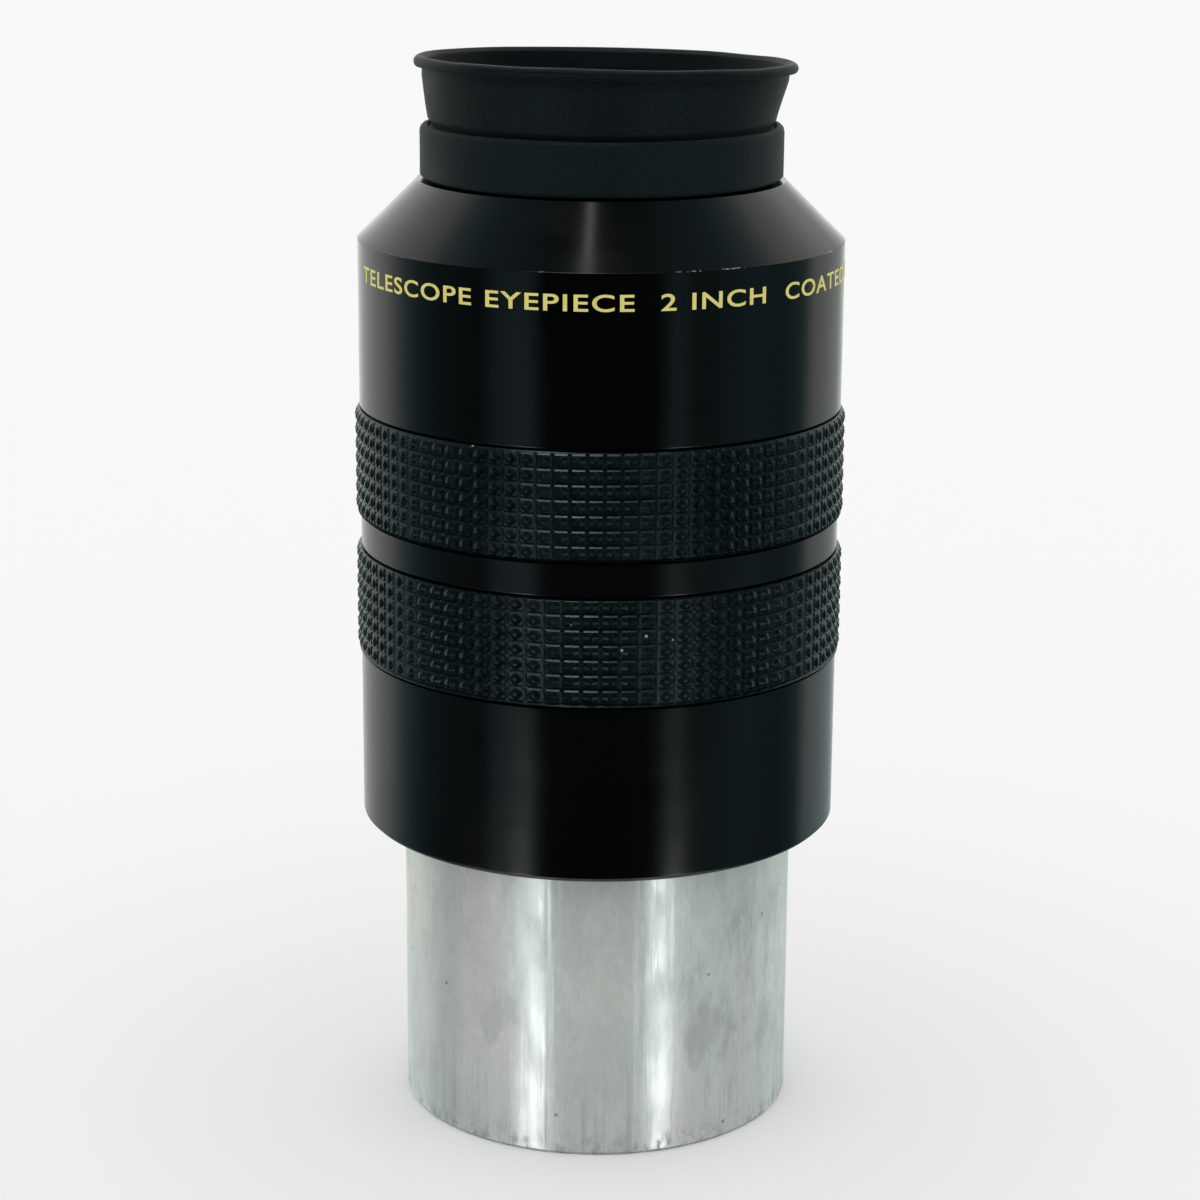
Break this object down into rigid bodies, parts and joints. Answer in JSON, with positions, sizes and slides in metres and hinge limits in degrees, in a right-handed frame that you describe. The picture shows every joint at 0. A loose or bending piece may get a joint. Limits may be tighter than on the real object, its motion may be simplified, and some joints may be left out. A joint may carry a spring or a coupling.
{
  "type": "telescope eyepiece",
  "caption": "Two-inch telescope eyepiece: plated barrel, black grooved housing with rubber grips, doublet lenses and a fold-down rubber eyecup.",
  "frame": {"origin": "centre of the barrel's foot, on the optical axis, where the eyepiece stands", "axes": "+Z along the optical axis from the telescope towards the eye; the part is turned, so X and Y are free"},
  "size_m": [0.0626, 0.0626, 0.1365],
  "materials": {
    "worn_plating": "satin plating, rubbed and stained",
    "black_anodised": "satin black anodised",
    "matt_black": "matt black",
    "grip_rubber": "moulded diamond points, semi-matt",
    "eyecup_rubber": "matt soft rubber",
    "crown_glass": "polished, coated",
    "flint_glass": "polished, coated"
  },
  "bodies": {
    "barrel": {"barrel": "worn_plating"},
    "field_stop": {"field_stop_ring": "matt_black"},
    "housing": {"lower_housing": "black_anodised", "upper_housing": "black_anodised", "lower_grip": "grip_rubber", "upper_grip": "grip_rubber", "eye_lens_flint": "flint_glass", "eye_lens_crown": "crown_glass", "field_lens_crown": "crown_glass", "field_lens_flint": "flint_glass", "lens_spacer": "matt_black", "lens_retaining_ring": "matt_black"},
    "eyecup": {"eyecup_collar": "eyecup_rubber", "eyecup_flare": "eyecup_rubber"},
    "eyecup_rim": {"eyecup_rim": "eyecup_rubber"}
  },
  "joints": [
    {"name": "housing_rise", "type": "slide", "parent": "barrel", "child": "field_stop", "axis": [0, 0, 1], "range_m": [0, 0.006]},
    {"name": "housing_unscrew", "type": "hinge", "parent": "field_stop", "child": "housing", "pos_m": [0, 0, 0.0389], "axis": [0, 0, 1], "range_deg": [0, 2160]},
    {"name": "eyecup_turn", "type": "hinge", "parent": "housing", "child": "eyecup", "pos_m": [0, 0, 0.12195], "axis": [0, 0, 1], "continuous": true},
    {"name": "eyecup_fold", "type": "slide", "parent": "eyecup", "child": "eyecup_rim", "axis": [0, 0, -1], "range_m": [0, 0.0124], "deforming": ["eyecup_flare"]}
  ],
  "couplings": [
    {"joint": "housing_rise", "follows": "housing_unscrew", "m_per_rad": 0.00015915}
  ]
}
